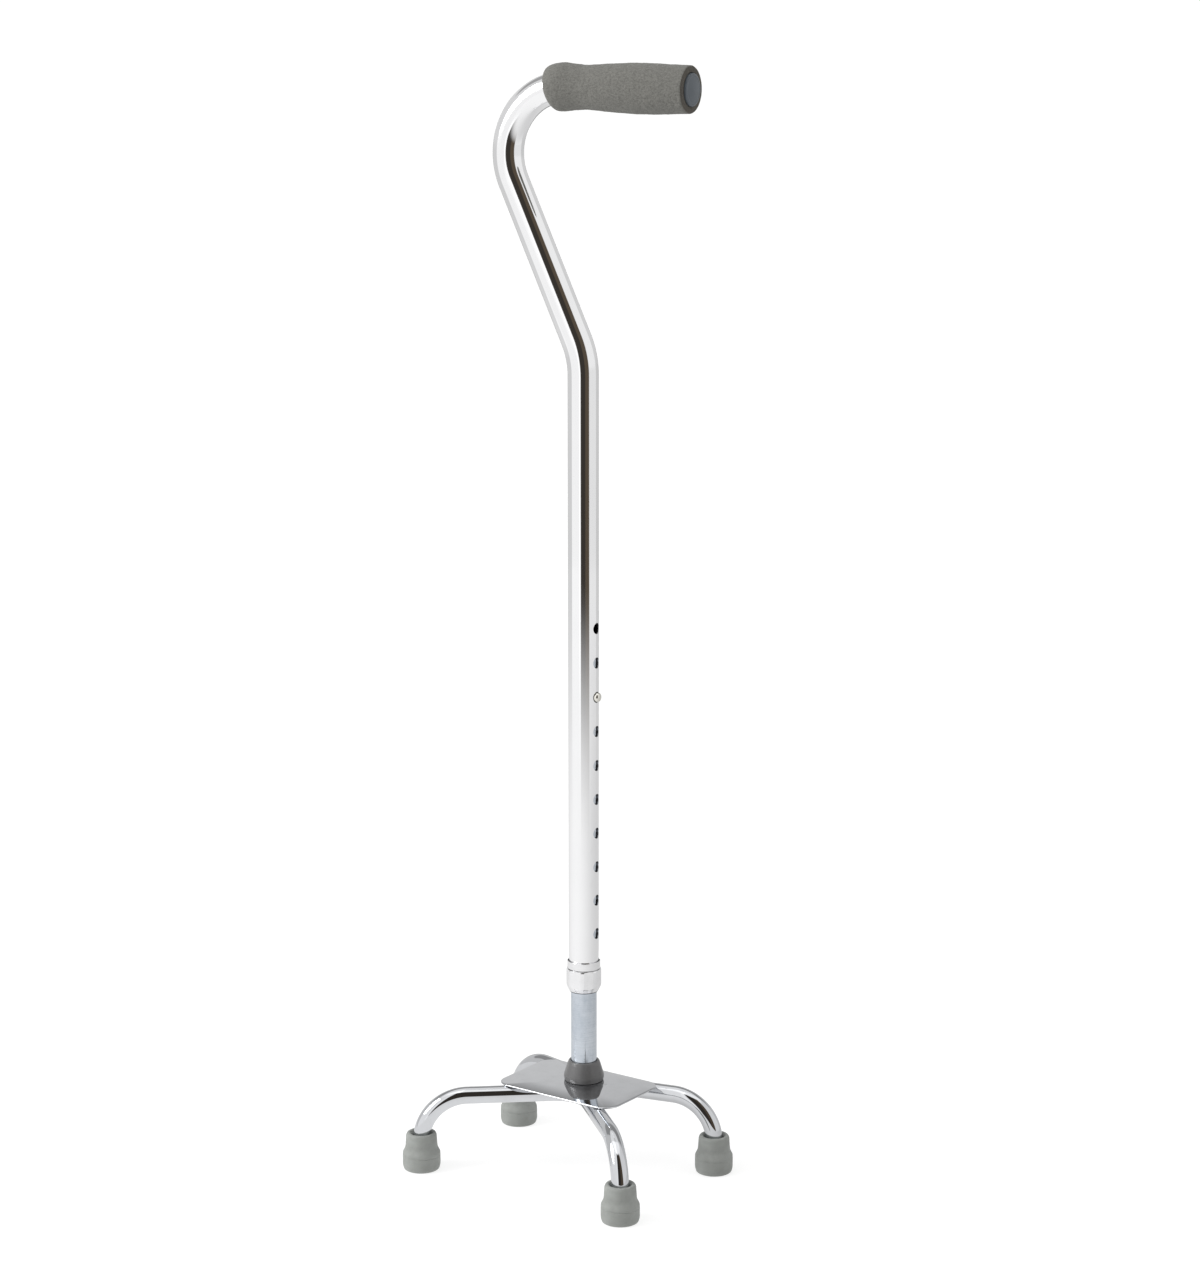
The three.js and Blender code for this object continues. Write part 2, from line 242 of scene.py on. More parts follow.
class BentPath:
    """Straight stretches joined by round bends, measured by the distance from its start."""

    def __init__(self, points, radii, side):
        self.parts = []
        points = [Vector(p) for p in points]
        headings = [(b - a).normalized() for a, b in zip(points, points[1:])]
        axes = Matrix((side, headings[0].cross(Vector(side)), headings[0])).transposed()
        place, self.length = points[0], 0.0
        for corner, into, out, radius in zip(points[1:], headings, headings[1:], radii):
            turn = into.angle(out)
            setback = radius * math.tan(turn / 2)
            self._add((corner - into * setback - place).length, place, axes, None, 0)
            bend_axis = into.cross(out).normalized()
            self._add(radius * turn, corner - into * setback, axes, bend_axis, radius)
            axes = Matrix.Rotation(turn, 3, bend_axis) @ axes
            place = corner + out * setback
        self._add((points[-1] - place).length, place, axes, None, 0)

    def _add(self, length, place, axes, bend_axis, radius):
        self.parts.append((self.length, length, place, axes, bend_axis, radius))
        self.length += length

    def at(self, distance):
        """The point there, and a matrix of its two side directions and its heading."""
        start, _, place, axes, bend_axis, radius = next(
            (p for p in reversed(self.parts) if p[0] <= distance), self.parts[0])
        heading = axes.col[2]
        if bend_axis is None:
            return place + heading * (distance - start), axes
        turned = Matrix.Rotation((distance - start) / radius, 3, bend_axis)
        centre = place + bend_axis.cross(heading) * radius
        return centre + turned @ (place - centre), turned @ axes

    def stations(self, bend_step, straight_step=1e9):
        """Distances that follow every bend in steps of bend_step, in degrees."""
        found = []
        for start, length, _, _, bend_axis, radius in self.parts:
            spacing = straight_step
            if bend_axis is not None:
                spacing = radius * math.radians(bend_step)
            found += steps_between(start, start + length, spacing)[:-1]
        return found + [self.length]


def bend(bm, path):
    """Lays a straight piece along a path, with its heights as distances."""
    keep_straight(bm)
    for vertex in bm.verts:
        point, axes = path.at(vertex.co.z)
        vertex.co = point + axes.col[0] * vertex.co.x + axes.col[1] * vertex.co.y
    return bm


def tube_outline(outer_r, inner_r, heights, rim=0.35):
    """A tube's wall as a closed outline, with a row at each height and softened ends."""
    low, high = heights[0], heights[-1]
    between = [h for h in heights if low + 2 * rim < h < high - 2 * rim]
    outline = rounded([(inner_r, low, rim), (outer_r, low, rim)], 3)
    outline += [Vector((outer_r, h)) for h in between]
    outline += rounded([(outer_r, high, rim), (inner_r, high, rim)], 3)
    outline += [Vector((inner_r, h)) for h in reversed(between)]
    return outline + [outline[0]]


class HoledTube:
    """A straight tube whose skin is laid out in quads round each drilled hole.

    Two strips run up the tube, at +X and -X. Each hole sits in its own cell of a strip, where rings
    of quads lead from the cell's edge to the hole and on through the wall.
    """

    STRIP = 6.0            # half the width of a strip, along Y
    COLUMNS = 6            # across a strip
    CELL_ROWS = 10         # up a cell
    SIDE_COLUMNS = 22      # round the tube from one strip to the other
    RIM = 0.25             # the rounding of a hole's edge

    def __init__(self, outer_r, inner_r, heights, holes, half_cell):
        self.outer_r, self.inner_r = outer_r, inner_r
        self.holes, self.half_cell = holes, half_cell
        cell_rows = []
        for _, z, _ in holes:
            cell_rows += steps_between(z - half_cell, z + half_cell, 2 * half_cell / self.CELL_ROWS)
        clear = [h for h in heights if all(abs(h - z) > half_cell + 1 for _, z, _ in holes)]
        rows = sorted([*cell_rows, *clear])
        self.rows = [rows[0]] + [b for a, b in zip(rows, rows[1:]) if b - a > WELD]

    def angle(self, column, radius):
        """The angle of a column of vertices. On a strip its Y is the same at every radius."""
        edge = math.asin(self.STRIP / radius)
        half_turn, column = divmod(column, self.COLUMNS + self.SIDE_COLUMNS)
        if column <= self.COLUMNS:
            local = math.asin(self.STRIP * (2 * column / self.COLUMNS - 1) / radius)
        else:
            share = (column - self.COLUMNS) / self.SIDE_COLUMNS
            local = edge + (math.pi - 2 * edge) * share
        return local + math.pi * half_turn

    def in_cell(self, side, height):
        return any(s == side and abs(height - z) < self.half_cell for s, z, _ in self.holes)

    def build(self):
        bm = bmesh.new()
        outline = tube_outline(self.outer_r, self.inner_r, self.rows)
        half = self.COLUMNS + self.SIDE_COLUMNS
        rows = []
        for r, z in outline:
            angles = [self.angle(column, r) for column in range(2 * half + 1)]
            rows.append([bm.verts.new((r * math.cos(a), r * math.sin(a), z)) for a in angles])
        for i, (row, following) in enumerate(zip(rows, rows[1:])):
            middle = (outline[i].y + outline[i + 1].y) / 2
            for column in range(2 * half):
                side = 1 if column < half else -1
                on_strip = column % half < self.COLUMNS
                if not (on_strip and self.in_cell(side, middle)):
                    bm.faces.new((row[column], row[column + 1],
                                  following[column + 1], following[column]))
        for side, z, hole_r in self.holes:
            self.add_cell(bm, side, z, hole_r)
        return weld(bm)

    def cell_edge(self):
        """The edge of a cell as Y and Z from the hole's middle, in even steps all round."""
        width, height = self.STRIP, self.half_cell
        across = [width * (2 * k / self.COLUMNS - 1) for k in range(self.COLUMNS)]
        upward = [height * (2 * k / self.CELL_ROWS - 1) for k in range(self.CELL_ROWS)]
        return ([(y, -height) for y in across] + [(width, z) for z in upward]
                + [(-y, height) for y in across] + [(-width, -z) for z in upward])

    def add_cell(self, bm, side, hole_z, hole_r):
        edge = self.cell_edge()
        first = -math.pi / 2 - math.pi * self.COLUMNS / len(edge)
        circle = [(math.cos(first + math.tau * k / len(edge)),
                   math.sin(first + math.tau * k / len(edge))) for k in range(len(edge))]
        mouth_r = hole_r + self.RIM

        def ring(radius, depth, wall_r, spread=0.0):
            points = []
            for (c, s), (edge_y, edge_z) in zip(circle, edge):
                y = radius * c + (edge_y - radius * c) * spread
                z = radius * s + (edge_z - radius * s) * spread
                x = math.sqrt(wall_r ** 2 - y ** 2) - depth
                points.append((side * x, side * y, hole_z + z))
            return points + [points[0]]

        spreads = [1, 0.7, 0.42, 0.2, 0.07, 0]
        layers = [ring(mouth_r, 0, self.outer_r, spread) for spread in spreads]
        for quarter in (30, 60, 90):
            turn = math.radians(quarter)
            layers.append(ring(mouth_r - self.RIM * math.sin(turn),
                               self.RIM * (1 - math.cos(turn)), self.outer_r))
        layers.append(ring(hole_r, 0, self.inner_r))
        layers += [ring(hole_r, 0, self.inner_r, spread) for spread in reversed(spreads[:-1])]
        add_grid(bm, layers)


# ---------------------------------------------------------------- pieces

POST = Matrix.Translation((0, POST_Y, 0)) @ Matrix.Rotation(HANDLE_TURN, 4, "Z")


def piece(bm, node, body, material, sharp=30, place=POST):
    """Makes the object that stands for a CAD node, from a mesh in millimetres. A piece given no body
    rides on none."""
    if "straight" not in bm.verts.layers.float_vector:
        keep_straight(bm)
    bmesh.ops.recalc_face_normals(bm, faces=bm.faces)
    bm.transform(Matrix.Scale(1 / METRE, 4) @ place)
    mesh = bpy.data.meshes.new(node + "_fine")
    bm.to_mesh(mesh)
    bm.free()
    mesh.shade_smooth()
    mesh.set_sharp_from_angle(angle=math.radians(sharp))
    mesh.materials.append(material)
    made = bpy.data.objects.new(node + "_fine", mesh)
    bpy.context.scene.collection.objects.link(made)
    if body:
        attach(made, body)
    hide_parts(node)
    return made


CROOK_X = -(GRIP_Z - KINK_Z) * math.tan(LEAN)
handle_path = BentPath(
    [(0, 0, TUBE_BOTTOM_Z), (0, 0, KINK_Z), (CROOK_X, 0, GRIP_Z), (TUBE_END_X, 0, GRIP_Z)],
    [KINK_BEND_R, CROOK_BEND_R], side=(1, 0, 0))


def handle_tube(material):
    top_hole = BUTTON_Z + BUTTON_HOLE * HOLE_PITCH - TUBE_BOTTOM_Z
    holes = [(1, top_hole - k * HOLE_PITCH, HOLE_R) for k in range(HOLE_COUNT)]
    tube = HoledTube(TUBE_R, TUBE_R - WALL, handle_path.stations(2.5, 20), holes, HOLE_PITCH / 2)
    bm = bend(tube.build(), handle_path)
    return piece(bm, "handle_tube", "handle", material)


GRIP_PROFILE = [
    (13.4, -109.3), (15.3, -108.2), (16.5, -105.6), (16.95, -101.4), (16.85, -97), (16.1, -90.2),
    (15.5, -83), (15.6, -78), (16.1, -71), (16.8, -61), (17.4, -47), (17.6, -37), (17.3, -23),
    (16.8, -8.8), (16.6, -2), (16.45, -0.8), (16.1, -0.2), (15.4, 0.0),
]
GRIP_MOUTH_R = 11.9


def foam_grip(material):
    """Soft foam: its skin has a fine grain and shallow ripples, and it swells over each end."""
    outer = smooth(GRIP_PROFILE, 0.7)
    bore = [Vector((GRIP_BORE, -z)) for z in steps_between(GRIP_OVERHANG, 108, 3)]
    outline = [
        *outer, *[Vector((r, 0)) for r in (14.2, 13)], Vector((GRIP_MOUTH_R, 0)),
        Vector((GRIP_MOUTH_R, -GRIP_OVERHANG)), *bore, Vector((GRIP_BORE, GRIP_PROFILE[0][1])),
        outer[0],
    ]
    bm = spun(outline, around(160))
    for vertex in bm.verts:
        place = vertex.co
        radius = math.hypot(place.x, place.y)
        if radius < GRIP_MOUTH_R + 0.5:
            continue
        ripple = 0.22 * noise.noise(Vector((place.x * 0.1, place.y * 0.1, place.z * 0.16)))
        grain = 0.10 * noise.noise(place * 0.55) + 0.05 * noise.noise(place * 1.3)
        scale = 1 + (ripple + grain) / radius
        vertex.co = (place.x * scale, place.y * scale, place.z)
    shift = handle_path.length + GRIP_OVERHANG
    bm.transform(Matrix.Translation((0, 0, shift)))
    bend(bm, handle_path)
    grip = piece(bm, "foam_grip", "handle", material, sharp=60)
    return grip


ALONG_X = Matrix.Rotation(math.pi / 2, 4, "Y")


def handle_end_cap(material):
    """A plug in the end of the tube. Its face is slightly domed inside a shallow turned step."""
    stem_r = TUBE_R - WALL - GAP
    flange = TUBE_END_X + GAP
    inner, face = CAP_INNER_X, CAP_FACE_X
    outline = rounded([
        (0, inner), (stem_r - 1, inner), (stem_r, inner + 1.5), (stem_r, flange),
        (CAP_R, flange, 0.2), (CAP_R, face - 1.0, 0.9), (9.4, face - 0.6, 0.5), (9.1, face - 0.75),
        (5, face - 0.2), (0, face),
    ])
    bm = spun(outline)
    return piece(bm, "handle_end_cap", "handle", material, sharp=25,
                 place=POST @ Matrix.Translation((0, 0, GRIP_Z)) @ ALONG_X)


def threaded_collar(material):
    bore = POST_R + GAP
    bottom, top = collar_low.z, collar_high.z
    seat = TUBE_BOTTOM_Z - GAP
    ring_r = COLLAR_R
    recess = TUBE_R + GAP
    stem = [(THREAD_R, z) for z in steps_between(bottom + 1, COLLAR_STEM_TOP_Z - 0.6, 0.12)]
    outline = loop([
        (bore, bottom), (THREAD_R - 0.8, bottom), *stem, (THREAD_R, COLLAR_STEM_TOP_Z),
        (ring_r, COLLAR_STEM_TOP_Z, 0.35), (ring_r, top, 0.4), (recess + 0.45, top, 0.1),
        (recess, top - 1.1), (recess, seat), (bore, seat),
    ])

    def thread(radius, height, angle):
        if abs(radius - THREAD_R) > 1e-6 or height > COLLAR_STEM_TOP_Z - 0.5:
            return radius
        turn = (height / THREAD_PITCH - angle / math.tau) % 1
        return radius - THREAD_DEPTH * (1 - abs(2 * turn - 1))

    bm = spun(outline, around(96), thread)
    return piece(bm, "threaded_collar", "handle", material, sharp=25)


def nut_angles():
    """Eight flats joined by short arcs, with a vertex at each edge between them."""
    half_flat = math.acos(NUT_FLAT_R / NUT_R)
    sector = math.tau / NUT_SIDES
    angles = []
    for k in range(NUT_SIDES):
        middle = k * sector
        angles += steps_between(middle - half_flat, middle + half_flat, half_flat / 3)
        angles += steps_between(middle + half_flat, middle + sector - half_flat, 0.06)[1:-1]
    return angles + [angles[0] + math.tau]


def lock_nut(material):
    """A nut with eight flats above a round tapered foot."""
    bottom, top = nut_low.z, nut_high.z
    bore = POST_R + 0.4
    body_r, thread_r = NUT_R, THREAD_R + GAP
    sector = math.tau / NUT_SIDES
    outline = loop([
        (bore, bottom), (10.6, bottom, 0.3), (body_r - 0.15, bottom + 4.4, 0.9),
        (body_r, bottom + 5.6), (body_r, top - 1.1), (body_r - 0.25, top, 0.5), (thread_r, top, 0.3),
        (thread_r, 140.4), (10.6, 134.3), (bore, 134.3),
    ], 8)

    def flats(radius, _, angle):
        from_flat = (angle + sector / 2) % sector - sector / 2
        return min(radius, NUT_FLAT_R / math.cos(from_flat))

    bm = spun(split(outline, 1.2), nut_angles(), flats)
    return piece(bm, "lock_nut", "nut", material, sharp=11)


def compression_ring(material):
    """A split nylon ring with a tapered outside."""
    bore, outer_r, half_slot = POST_R + 0.25, THREAD_R - 0.05, 0.8 / POST_R
    low, high = corners("compression_ring")
    outline = loop([
        (bore, low.z, 0.2), (10.25, low.z, 0.2), (outer_r, high.z - 0.5, 0.2),
        (outer_r, high.z, 0.15), (bore, high.z, 0.2),
    ], 4)
    angles = steps_between(half_slot - math.pi, math.pi - half_slot, 0.08)
    bm = spun(outline, angles)
    return piece(bm, "compression_ring", "ring", material)


def lower_tube(material):
    heights = [z - post_low.z for z in steps_between(post_low.z, post_high.z, 12)]
    pin_hole_r = (pin_high.z - pin_low.z) / 2 + GAP
    holes = [
        (1, BUTTON_Z - post_low.z, HOLE_R - 0.1),
        (1, PIN_Z - post_low.z, pin_hole_r), (-1, PIN_Z - post_low.z, pin_hole_r),
    ]
    tube = HoledTube(POST_R, POST_R - WALL, heights, holes, half_cell=6.5)
    bm = tube.build()
    bm.transform(Matrix.Translation((0, 0, post_low.z)))
    return piece(bm, "lower_tube", "base", material)


def snap_button(material):
    """A drawn nickel button: a flange inside the tube and a domed head."""
    crown = BUTTON_TIP_X
    outline = rounded([
        (0, 5.2), (4.4, 5.2, 0.2), (4.4, 6.2, 0.2), (BUTTON_R, 6.2), (BUTTON_R, crown - 1.9, 0.4),
        (BUTTON_R - 0.5, crown - 0.7, 0.6), (1.8, crown - 0.05, 0.9), (0, crown),
    ])
    bm = spun(outline, around(48))
    return piece(bm, "snap_button", "button", material, sharp=40,
                 place=POST @ Matrix.Translation((0, 0, BUTTON_Z)) @ ALONG_X)


def button_spring(material):
    """A folded leaf: one arm moves with the button, the other lies on the tube's far wall."""
    path = BentPath(
        [(4.5, 0, BUTTON_Z + 5), (4.5, 0, BUTTON_Z - 5), (-2, 0, BUTTON_Z - 42),
         (-7.2, 0, BUTTON_Z - 42), (-7.2, 0, BUTTON_Z - 8)], [6, 2, 2], side=(0, 1, 0))
    half_width, half_thickness, soft = 3.0, 0.3, 0.12
    section = loop([
        (-half_width, -half_thickness, soft), (half_width, -half_thickness, soft),
        (half_width, half_thickness, soft), (-half_width, half_thickness, soft),
    ], 2)
    bm = bmesh.new()
    rows = [[(x, y, s) for x, y in section] for s in path.stations(10, 4)]
    made = add_grid(bm, rows)
    bm.faces.new(made[0][:-1])
    bm.faces.new(made[-1][:-1])
    bend(weld(bm), path)
    made = piece(bm, "button_spring", None, material)
    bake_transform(made)
    return made


def base_boot(material):
    bottom, top = boot_low.z, boot_high.z
    bore, room = POST_R + GAP, 12.0
    outline = loop([
        (room, bottom), (BOOT_R - 0.7, bottom, 0.3), (BOOT_R, bottom + 2.4, 1.2),
        (BOOT_R - 0.25, bottom + 4.2, 0.8), (12.2, top - 2.4, 0.8), (11.2, top, 0.9),
        (bore, top, 0.25), (bore, top - 3.4), (room - 0.9, top - 4.6), (room, top - 6),
    ])
    return piece(spun(outline, around(96)), "base_boot", "base", material)


def post_spigot(material):
    bore = 5.6
    outer_r = POST_R - WALL - GAP
    heights = steps_between(0, spigot_high.z - spigot_low.z, 5)
    pin_hole_r = (pin_high.z - pin_low.z) / 2 + GAP
    holes = [(side, PIN_Z - spigot_low.z, pin_hole_r) for side in (1, -1)]
    tube = HoledTube(outer_r, bore, heights, holes, half_cell=4.5)
    tube.STRIP = 4.0
    bm = tube.build()
    bm.transform(Matrix.Translation((0, 0, spigot_low.z)))
    return piece(bm, "post_spigot", "base", material)


def spigot_pin(material):
    """A headless pin with a domed tip at each end."""
    pin_r = (pin_high.z - pin_low.z) / 2
    half = PIN_HALF_LENGTH
    outline = rounded([
        (0, -half), (pin_r - 0.4, 0.35 - half, 0.4), (pin_r, 1.2 - half, 0.4),
        (pin_r, half - 1.2, 0.4), (pin_r - 0.4, half - 0.35, 0.4), (0, half),
    ])
    return piece(spun(outline, around(32)), "spigot_pin", "base", material,
                 place=POST @ Matrix.Translation((0, 0, PIN_Z)) @ ALONG_X)


PLATE_CORNER_R = 12.0
PLATE_EDGE = 0.75
PLATE_CROWN = 1.3         # from the middle of its top down to the rim
DIMPLES = [
    (-21, 1.5, 1.5, 0.16), (-24.5, 3.5, 1.2, 0.12), (21, -2, 1.4, 0.14), (25, 0.5, 1.2, 0.1),
    (-17, 13, 1.5, 0.12), (29, 3.5, 1.1, 0.08),
]


def plate_rim(inset):
    """The plate's outline, drawn in by inset, as points from the post's axis."""
    radius = PLATE_CORNER_R - inset
    centre_x = plate_high.x - PLATE_CORNER_R
    centre_y = (plate_high.y - plate_low.y) / 2 - PLATE_CORNER_R
    middle_y = (plate_high.y + plate_low.y) / 2 - POST_Y
    points = []
    for quarter, (sx, sy) in enumerate([(1, 1), (-1, 1), (-1, -1), (1, -1)]):
        for angle in steps_between(0, math.pi / 2, math.radians(5)):
            angle += quarter * math.pi / 2
            points.append(Vector((sx * centre_x + radius * math.cos(angle),
                                  middle_y + sy * centre_y + radius * math.sin(angle))))
    closed = points + [points[0]]
    return split(closed, 4)


def base_plate(material):
    """A pressed plate with a rounded edge. The welds below have left faint dimples on its top."""
    def crowned(spread):
        return PLATE_TOP_Z + GAP / 2 - PLATE_CROWN * spread ** 2.5

    bottom_z = PLATE_TOP_Z - PLATE_THICKNESS
    half = (crowned(1) - bottom_z) / 2
    middle_z = bottom_z + half
    rings = []
    spreads = [0, 0.04, *steps_between(0.08, 1, 0.02)]

    def flat(z, spread):
        return [(*(point * spread), z) for point in plate_rim(PLATE_EDGE)]

    rings += [flat(crowned(spread), spread) for spread in spreads]
    for angle in steps_between(0, math.pi, math.pi / 10)[1:-1]:
        inset = PLATE_EDGE * (1 - math.sin(angle))
        rings.append([(*point, middle_z + half * math.cos(angle)) for point in plate_rim(inset)])
    rings += [flat(bottom_z, spread) for spread in reversed(spreads)]
    bm = bmesh.new()
    add_grid(bm, rings)
    weld(bm)
    for vertex in bm.verts:
        if vertex.co.z > crowned(1) - WELD:
            for x, y, width, depth in DIMPLES:
                apart = (vertex.co.x - x) ** 2 + (vertex.co.y - y) ** 2
                vertex.co.z -= depth * math.exp(-apart / (2 * width ** 2))
    return piece(bm, "base_plate", "base", material, sharp=40,
                 place=Matrix.Translation((0, POST_Y, 0)))


def leg_tube(node, side, splay, drop_r, plate_r, material):
    """Two legs in one tube: up from a tip, in under the plate, round a bend, and out again."""
    tube_z = corners(node)[1].z - LEG_R
    inner_y = side * (FOOT_Y - FOOT_X * math.tan(splay))
    path = BentPath(
        [(-FOOT_X, side * FOOT_Y, LEG_END_Z), (-FOOT_X, side * FOOT_Y, tube_z),
         (0, inner_y, tube_z), (FOOT_X, side * FOOT_Y, tube_z), (FOOT_X, side * FOOT_Y, LEG_END_Z)],
        [drop_r, plate_r, drop_r], side=(1, 0, 0))
    outline = tube_outline(LEG_R, LEG_R - WALL, path.stations(3, 12))
    bm = bend(spun(outline, around(48)), path)
    return piece(bm, node, "base", material, place=Matrix())


def rubber_tip(node, material):
    """A moulded tip: a flared foot, a parting line, a tapered neck with a rolled mouth."""
    low, high = corners(node)
    middle = (low + high) / 2
    bore = LEG_R + 0.35
    floor = 5.0
    treads = []
    for groove_r in (3.0, 6.2, 9.4):
        treads += [(groove_r - 0.7, 0, 0.2), (groove_r - 0.5, 1.1, 0.2),
                   (groove_r + 0.5, 1.1, 0.2), (groove_r + 0.7, 0, 0.2)]
    outline = rounded([
        (0, 0), *treads, (TIP_R - 1.0, 0, 1.2), (TIP_R, 3.4, 1.6), (TIP_R, 10.6, 0.15),
        (TIP_R - 0.3, 10.9, 0.15), (TIP_R - 0.05, 11.2, 0.15), (TIP_R - 0.1, 13.0, 0.5),
        (12.1, 16.6, 0.7), (11.8, 19, 0.6), (11.3, 26.4, 0.8), (10.4, TIP_HEIGHT - 0.2, 0.6),
        (8.6, TIP_HEIGHT, 0.6),
        (7.4, 26.6, 0.8), (bore, 22.5, 1.0), (bore, floor), (0, floor),
    ])
    bm = spun(split(outline, 1.5), around(84))
    return piece(bm, node, "base", material,
                 place=Matrix.Translation((middle.x, middle.y, 0)))


def tip_washer(node, material):
    low, high = corners(node)
    middle = (low + high) / 2
    outline = loop([
        (2.2, low.z, 0.2), (LEG_R, low.z, 0.3), (LEG_R, high.z, 0.3), (2.2, high.z, 0.2),
    ], 3)
    return piece(spun(outline, around(48)), node, "base", material,
                 place=Matrix.Translation((middle.x, middle.y, 0)))


# ---------------------------------------------------------------- materials


class Shader:
    """A material with one Principled shader, and short ways to add the nodes that feed it."""

    def __init__(self, name, colour, roughness, **constants):
        self.material = bpy.data.materials.new(name)
        self.material.use_nodes = True
        self.tree = self.material.node_tree
        self.surface = self.tree.nodes["Principled BSDF"]
        self.surface.inputs["Base Color"].default_value = (*colour, 1)
        self.surface.inputs["Roughness"].default_value = roughness
        for name_of_socket, value in constants.items():
            self.surface.inputs[name_of_socket.replace("_", " ")].default_value = value
        self.place = self.node("ShaderNodeAttribute", attribute_name="straight").outputs["Vector"]

    def node(self, kind, inputs=None, **settings):
        made = self.tree.nodes.new(kind)
        for name, value in settings.items():
            setattr(made, name, value)
        for name, value in (inputs or {}).items():
            if isinstance(value, bpy.types.NodeSocket):
                self.tree.links.new(value, made.inputs[name])
            else:
                made.inputs[name].default_value = value
        return made

    def stretched(self, across, along):
        """The piece's straight coordinates, in features per metre across and along it."""
        return self.node("ShaderNodeMapping", {
            "Vector": self.place, "Scale": (across, across, along)}).outputs["Vector"]

    def noise(self, across, along, detail=2.0, roughness=0.5):
        return self.node("ShaderNodeTexNoise", {
            "Vector": self.stretched(across, along), "Scale": 1.0, "Detail": detail,
            "Roughness": roughness}).outputs["Fac"]

    def radius(self):
        """The distance from the piece's own axis, in metres."""
        flat = self.node("ShaderNodeMapping", {
            "Vector": self.place, "Scale": (1, 1, 0)}).outputs["Vector"]
        return self.node("ShaderNodeVectorMath", {0: flat}, operation="LENGTH").outputs["Value"]

    def height(self):
        """The place along the piece's own axis, in metres."""
        return self.node("ShaderNodeSeparateXYZ", {"Vector": self.place}).outputs["Z"]

    def pores(self, size):
        return self.node("ShaderNodeTexVoronoi", {
            "Vector": self.place, "Scale": 1 / size}).outputs["Distance"]

    def between(self, value, low, high, start=0.3, end=0.7):
        """value, brought from start..end to low..high."""
        return self.node("ShaderNodeMapRange", {
            "Value": value, "From Min": start, "From Max": end, "To Min": low, "To Max": high,
        }).outputs["Result"]

    def math(self, operation, a, b):
        made = self.node("ShaderNodeMath", {0: a, 1: b}, operation=operation)
        return made.outputs["Value"]

    def mix(self, factor, a, b):
        made = self.node("ShaderNodeMix", {"Factor": factor}, data_type="RGBA")
        for socket, colour in (("A_Color", a), ("B_Color", b)):
            target = next(s for s in made.inputs if s.identifier == socket)
            if isinstance(colour, bpy.types.NodeSocket):
                self.tree.links.new(colour, target)
            else:
                target.default_value = (*colour, 1)
        return next(s for s in made.outputs if s.identifier == "Result_Color")

    def colour(self, socket):
        self.tree.links.new(socket, self.surface.inputs["Base Color"])

    def roughness(self, socket):
        self.tree.links.new(socket, self.surface.inputs["Roughness"])

    def bumps(self, *layers):
        """Adds layers of relief, each a socket and its height in millimetres."""
        normal = None
        for height, depth in layers:
            inputs = {"Height": height, "Strength": 1.0, "Distance": depth / METRE}
            if normal is not None:
                inputs["Normal"] = normal
            normal = self.node("ShaderNodeBump", inputs).outputs["Normal"]
        self.tree.links.new(normal, self.surface.inputs["Normal"])


def polished_aluminium():
    """Drawn tube, polished outside: fine lines along it, a faint wave, smudges, and a dull bore whose
    colour is painted dark as shade.
    """
    shader = Shader("polished_aluminium", (0.93, 0.93, 0.935), 0.05, Metallic=1.0)
    lines = shader.noise(1800, 12, 3)
    smudges = shader.noise(60, 25, 4, 0.6)
    polish = shader.between(
        shader.math("ADD", smudges, shader.math("MULTIPLY", lines, 0.4)), 0.04, 0.09, 0.5, 0.9)
    dull_shaded_bore = shader.between(shader.radius(), 1, 0, (TUBE_R - 0.8) / METRE, (TUBE_R - 0.4) / METRE)
    shader.roughness(shader.math("MAXIMUM", polish, shader.math("MULTIPLY", dull_shaded_bore, 0.5)))
    outside = shader.mix(smudges, (0.95, 0.95, 0.955), (0.90, 0.90, 0.91))
    # painted shade: the bore and the inner walls of the holes are coloured dark, as if in shadow
    shader.colour(shader.mix(dull_shaded_bore, outside, (0.16, 0.16, 0.17)))
    shader.bumps((shader.noise(45, 18, 1), 0.02), (lines, 0.0006))
    return shader.material


def chrome(name, colour, roughness):
    """Bright plating over steel, with its slight orange peel."""
    shader = Shader(name, colour, roughness, Metallic=1.0)
    smudges = shader.noise(90, 90, 4, 0.6)
    shader.roughness(shader.between(smudges, roughness, roughness + 0.05, 0.45, 0.75))
    darker = tuple(0.94 * channel for channel in colour)
    shader.colour(shader.mix(shader.between(smudges, 0, 1, 0.4, 0.7), colour, darker))
    shader.bumps((shader.noise(120, 90, 1), 0.004))
    return shader.material


def satin_metal(name, colour, roughness, painted_shade_below=0.0):
    """Turned metal with fine lines round it, and painted shade below a height on it, where a piece
    sits on the one beneath.
    """
    shader = Shader(name, colour, roughness, Metallic=1.0)
    lines = shader.noise(8, 4000, 2)
    wear = shader.noise(150, 150, 4, 0.6)
    shader.roughness(shader.between(wear, roughness, roughness + 0.1, 0.4, 0.7))
    tone = shader.mix(wear, colour, tuple(0.9 * channel for channel in colour))
    if painted_shade_below:
        # painted shade: below the given height the colour goes dark, as the shade at the nut's foot
        # where it meets the lower tube
        foot_shade = shader.between(shader.height(), 1, 0, (painted_shade_below - 0.3) / METRE, painted_shade_below / METRE)
        tone = shader.mix(foot_shade, tone, (0.07, 0.07, 0.075))
    shader.colour(tone)
    shader.bumps((lines, 0.002), (shader.noise(200, 200, 1), 0.006))
    return shader.material


def zinc_steel():
    """Plated tube: cool and cloudy, with fine rubbed marks round it."""
    shader = Shader("zinc_steel", (0.62, 0.66, 0.71), 0.25, Metallic=1.0)
    clouds = shader.noise(70, 45, 5, 0.65)
    rings = shader.noise(25, 1500, 3)
    tone = shader.mix(shader.between(clouds, 0, 1, 0.35, 0.65), (0.66, 0.70, 0.75), (0.54, 0.59, 0.65))
    tone = shader.mix(shader.between(rings, 0, 0.35, 0.45, 0.75), tone, (0.44, 0.47, 0.52))
    shader.colour(tone)
    shader.roughness(shader.between(clouds, 0.15, 0.26, 0.35, 0.7))
    shader.bumps((rings, 0.003), (clouds, 0.01))
    return shader.material


